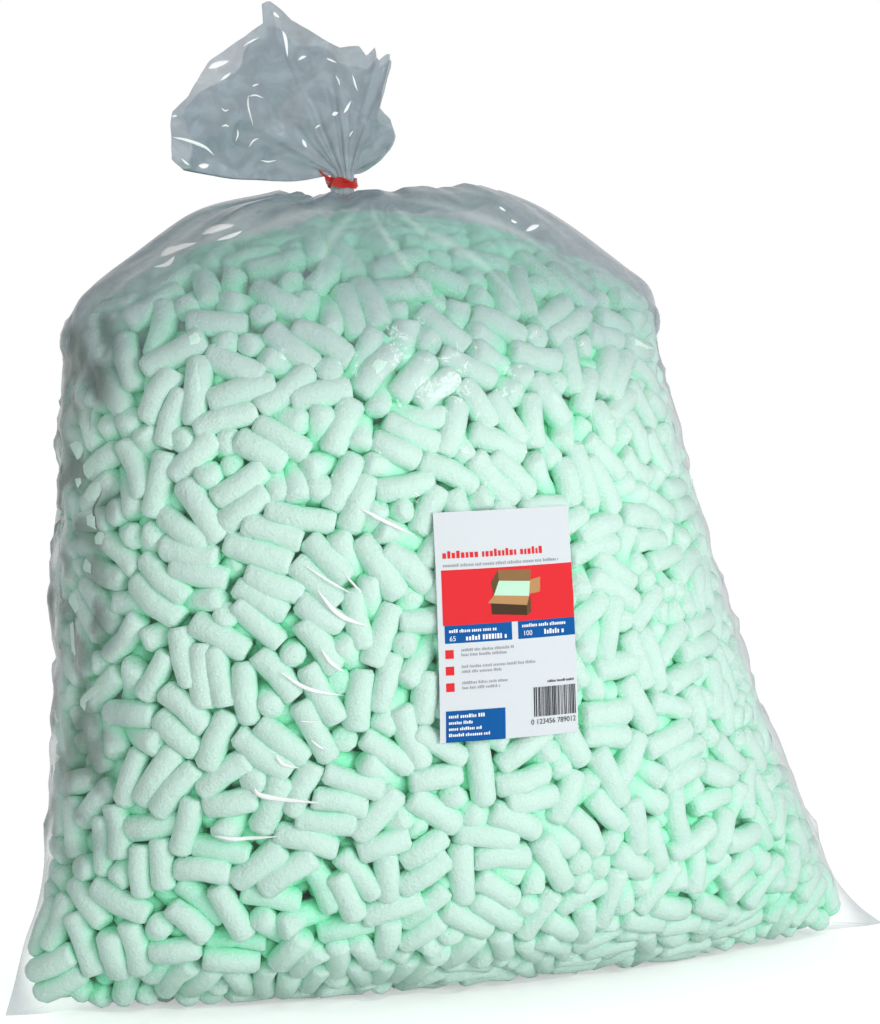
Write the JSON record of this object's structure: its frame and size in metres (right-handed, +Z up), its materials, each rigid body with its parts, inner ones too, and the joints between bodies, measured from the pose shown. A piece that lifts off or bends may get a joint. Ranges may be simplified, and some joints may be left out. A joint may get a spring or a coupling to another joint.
{
  "type": "bag of packing peanuts",
  "caption": "Clear film bag filled with foam packing peanuts, standing on its flat base, gathered and tied at the neck with a spread ruffle above the tie and a printed label on its front.",
  "frame": {"origin": "middle of the bag's flat base, on the surface that it stands on", "axes": "+Z up; -Y towards the front, which carries the label; +X towards the right end as seen from the front"},
  "size_m": [0.71, 0.3423, 0.6954],
  "materials": {
    "clear_film": "clear glossy film",
    "red_tie": "glossy",
    "label_paper": "satin",
    "green_foam": "matte foam"
  },
  "bodies": {
    "root": {"film_bag": "clear_film", "neck_tie": "red_tie", "front_label": "label_paper", "peanut_fill": "green_foam"}
  },
  "joints": []
}
